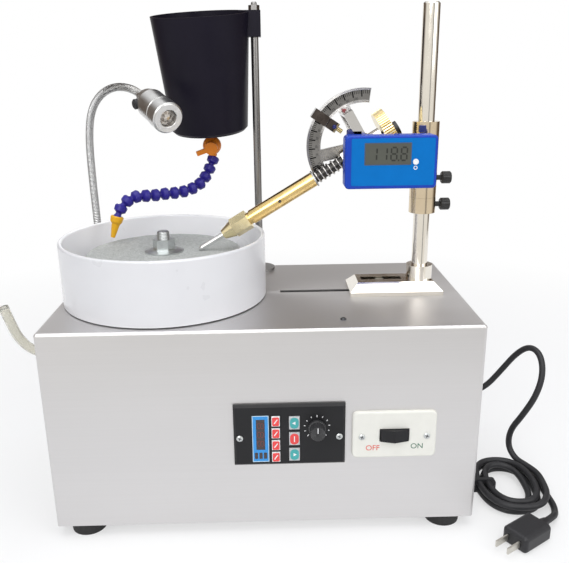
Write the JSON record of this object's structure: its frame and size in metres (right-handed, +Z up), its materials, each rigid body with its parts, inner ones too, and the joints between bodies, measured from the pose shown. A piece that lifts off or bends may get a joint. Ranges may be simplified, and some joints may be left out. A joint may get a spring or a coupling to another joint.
{
  "type": "gem faceting machine",
  "caption": "Bench gem faceting machine: steel box with splash pan and spinning lap, mast with tilting dop arm and angle gauge, drip tank, gooseneck lamp and tied mains cord.",
  "frame": {"origin": "on the table under the middle of the box", "axes": "+Z up along the mast, +Y to the back, +X to the right seen from the control panel"},
  "size_m": [0.5536, 0.3003, 0.494],
  "materials": {
    "stainless": "brushed",
    "steel": "satin",
    "zinc": "satin",
    "chrome": "polished",
    "aluminium": "satin",
    "brass": "polished",
    "white_plastic": "gloss",
    "black_plastic": "satin",
    "red_plastic": "gloss",
    "teal_plastic": "gloss",
    "blue_plastic": "satin",
    "violet_plastic": "gloss",
    "orange_plastic": "gloss",
    "amber_plastic": "gloss",
    "lap_grey": "matt",
    "rubber": "matt",
    "clear_hose": "gloss",
    "motor_paint": "satin"
  },
  "bodies": {
    "base": {"casing_shell": "stainless", "base_plate": "stainless", "rubber_feet": "rubber", "splash_pan": "white_plastic", "motor_housing": "motor_paint", "spindle_bearings": "steel", "control_panel": "black_plastic", "controller_box": "black_plastic", "switch_plate": "white_plastic", "panel_screws": "steel", "cord_gland": "rubber", "mains_cord": "rubber", "cord_hank": "rubber", "mains_plug": "rubber", "drain_elbow": "white_plastic", "drain_hose": "clear_hose", "lamp_base": "aluminium", "tank_rod": "steel", "rod_nuts": "steel"},
    "lap": {"spindle": "steel", "lap_platen": "aluminium", "lap_disc": "lap_grey", "lap_washer": "zinc", "lap_nut": "zinc"},
    "knob": {"speed_knob": "black_plastic"},
    "rocker": {"switch_rocker": "black_plastic"},
    "carriage": {"mast_foot": "chrome", "mast": "chrome", "clamp_bolt": "steel"},
    "collar": {"stop_collar": "chrome"},
    "collar_thumbscrew": {"collar_screw": "chrome"},
    "head": {"head_sleeve": "chrome", "gauge_case": "blue_plastic"},
    "sleeve_thumbscrew": {"sleeve_screw": "chrome"},
    "gauge_key": {"gauge_button": "white_plastic"},
    "arm": {"arm_yoke": "chrome", "protractor": "chrome", "thrust_washer": "steel", "quill_spring": "steel"},
    "stop": {"stop_block": "chrome"},
    "quill": {"quill_barrel": "brass", "chuck": "brass", "dop": "brass", "index_wheel": "brass"},
    "lamp": {"gooseneck": "chrome", "lamp_head": "aluminium"},
    "lamp_key": {"lamp_switch": "rubber"},
    "tank": {"water_tank": "black_plastic", "valve_body": "orange_plastic", "hose_upper": "violet_plastic"},
    "lever": {"valve_lever": "orange_plastic"},
    "hose_end": {"hose_lower": "violet_plastic"},
    "spout": {"nozzle": "amber_plastic"},
    "small_key_1_body": {"small_key_1": "red_plastic"},
    "small_key_2_body": {"small_key_2": "red_plastic"},
    "small_key_3_body": {"small_key_3": "red_plastic"},
    "small_key_4_body": {"small_key_4": "red_plastic"},
    "function_key_1_body": {"function_key_1": "teal_plastic"},
    "function_key_2_body": {"function_key_2": "red_plastic"},
    "function_key_3_body": {"function_key_3": "teal_plastic"}
  },
  "joints": [
    {"name": "lap_spin", "type": "hinge", "parent": "base", "child": "lap", "pos_m": [-0.098, 0.0035, 0.2538], "axis": [0, 0, 1], "continuous": true},
    {"name": "small_key_1_press", "type": "slide", "parent": "base", "child": "small_key_1_body", "axis": [0, 1, 0], "range_m": [0, 0.0006], "stiffness_N_per_m": 800},
    {"name": "small_key_2_press", "type": "slide", "parent": "base", "child": "small_key_2_body", "axis": [0, 1, 0], "range_m": [0, 0.0006], "stiffness_N_per_m": 800},
    {"name": "small_key_3_press", "type": "slide", "parent": "base", "child": "small_key_3_body", "axis": [0, 1, 0], "range_m": [0, 0.0006], "stiffness_N_per_m": 800},
    {"name": "small_key_4_press", "type": "slide", "parent": "base", "child": "small_key_4_body", "axis": [0, 1, 0], "range_m": [0, 0.0006], "stiffness_N_per_m": 800},
    {"name": "function_key_1_press", "type": "slide", "parent": "base", "child": "function_key_1_body", "axis": [0, 1, 0], "range_m": [0, 0.0006], "stiffness_N_per_m": 800},
    {"name": "function_key_2_press", "type": "slide", "parent": "base", "child": "function_key_2_body", "axis": [0, 1, 0], "range_m": [0, 0.0006], "stiffness_N_per_m": 800},
    {"name": "function_key_3_press", "type": "slide", "parent": "base", "child": "function_key_3_body", "axis": [0, 1, 0], "range_m": [0, 0.0006], "stiffness_N_per_m": 800},
    {"name": "speed_turn", "type": "hinge", "parent": "base", "child": "knob", "pos_m": [0.0483, -0.109, 0.1146], "axis": [0, 1, 0], "range_deg": [-140, 140]},
    {"name": "switch_rock", "type": "hinge", "parent": "base", "child": "rocker", "pos_m": [0.1198, -0.1085, 0.1045], "axis": [0, 0, 1], "range_deg": [-8, 8]},
    {"name": "mast_slide", "type": "slide", "parent": "base", "child": "carriage", "axis": [1, 0, 0], "range_m": [-0.008, 0.017]},
    {"name": "collar_height", "type": "slide", "parent": "carriage", "child": "collar", "axis": [0, 0, 1], "range_m": [0, 0.04]},
    {"name": "collar_screw_turn", "type": "hinge", "parent": "collar", "child": "collar_thumbscrew", "pos_m": [0.1785, 0.0035, 0.29765], "axis": [1, 0, 0], "range_deg": [-180, 180]},
    {"name": "head_swivel", "type": "hinge", "parent": "collar", "child": "head", "pos_m": [0.1605, 0.0035, 0.34], "axis": [0, 0, 1], "range_deg": [-8, 14]},
    {"name": "sleeve_screw_turn", "type": "hinge", "parent": "head", "child": "sleeve_thumbscrew", "pos_m": [0.1785, 0.0035, 0.3239], "axis": [1, 0, 0], "range_deg": [-180, 180]},
    {"name": "gauge_button_press", "type": "slide", "parent": "head", "child": "gauge_key", "axis": [0, 1, 0], "range_m": [0, 0.0006], "stiffness_N_per_m": 500},
    {"name": "arm_tilt", "type": "hinge", "parent": "head", "child": "arm", "pos_m": [0.102, 0.0035, 0.3538], "axis": [0, 1, 0], "range_deg": [0, 30]},
    {"name": "stop_set", "type": "hinge", "parent": "arm", "child": "stop", "pos_m": [0.102, 0.0035, 0.3538], "axis": [0, 1, 0], "range_deg": [-18, 5]},
    {"name": "quill_spin", "type": "hinge", "parent": "arm", "child": "quill", "pos_m": [0.102, 0.0035, 0.3538], "axis": [-0.8581, 0, -0.5135], "continuous": true},
    {"name": "lamp_swing", "type": "hinge", "parent": "base", "child": "lamp", "pos_m": [-0.183, 0.085, 0.22], "axis": [0, 0, 1], "range_deg": [-25, 8]},
    {"name": "lamp_switch_press", "type": "slide", "parent": "lamp", "child": "lamp_key", "axis": [0.8448, 0.5229, 0.1134], "range_m": [0, 0.0008], "stiffness_N_per_m": 500},
    {"name": "tank_swing", "type": "hinge", "parent": "base", "child": "tank", "pos_m": [-0.0036, 0.09, 0.47], "axis": [0, 0, 1], "range_deg": [-5, 4]},
    {"name": "valve_turn", "type": "hinge", "parent": "tank", "child": "lever", "pos_m": [-0.05416, 0.10907, 0.34744], "axis": [0.0056, -0.9903, -0.1391], "range_deg": [0, 80]},
    {"name": "hose_bend", "type": "hinge", "parent": "tank", "child": "hose_end", "pos_m": [-0.09382, 0.07952, 0.29976], "axis": [0, 0, 1], "range_deg": [-6, 10]},
    {"name": "nozzle_bend", "type": "hinge", "parent": "hose_end", "child": "spout", "pos_m": [-0.15135, 0.04361, 0.28133], "axis": [0, 1, 0], "range_deg": [-8, 10]}
  ]
}
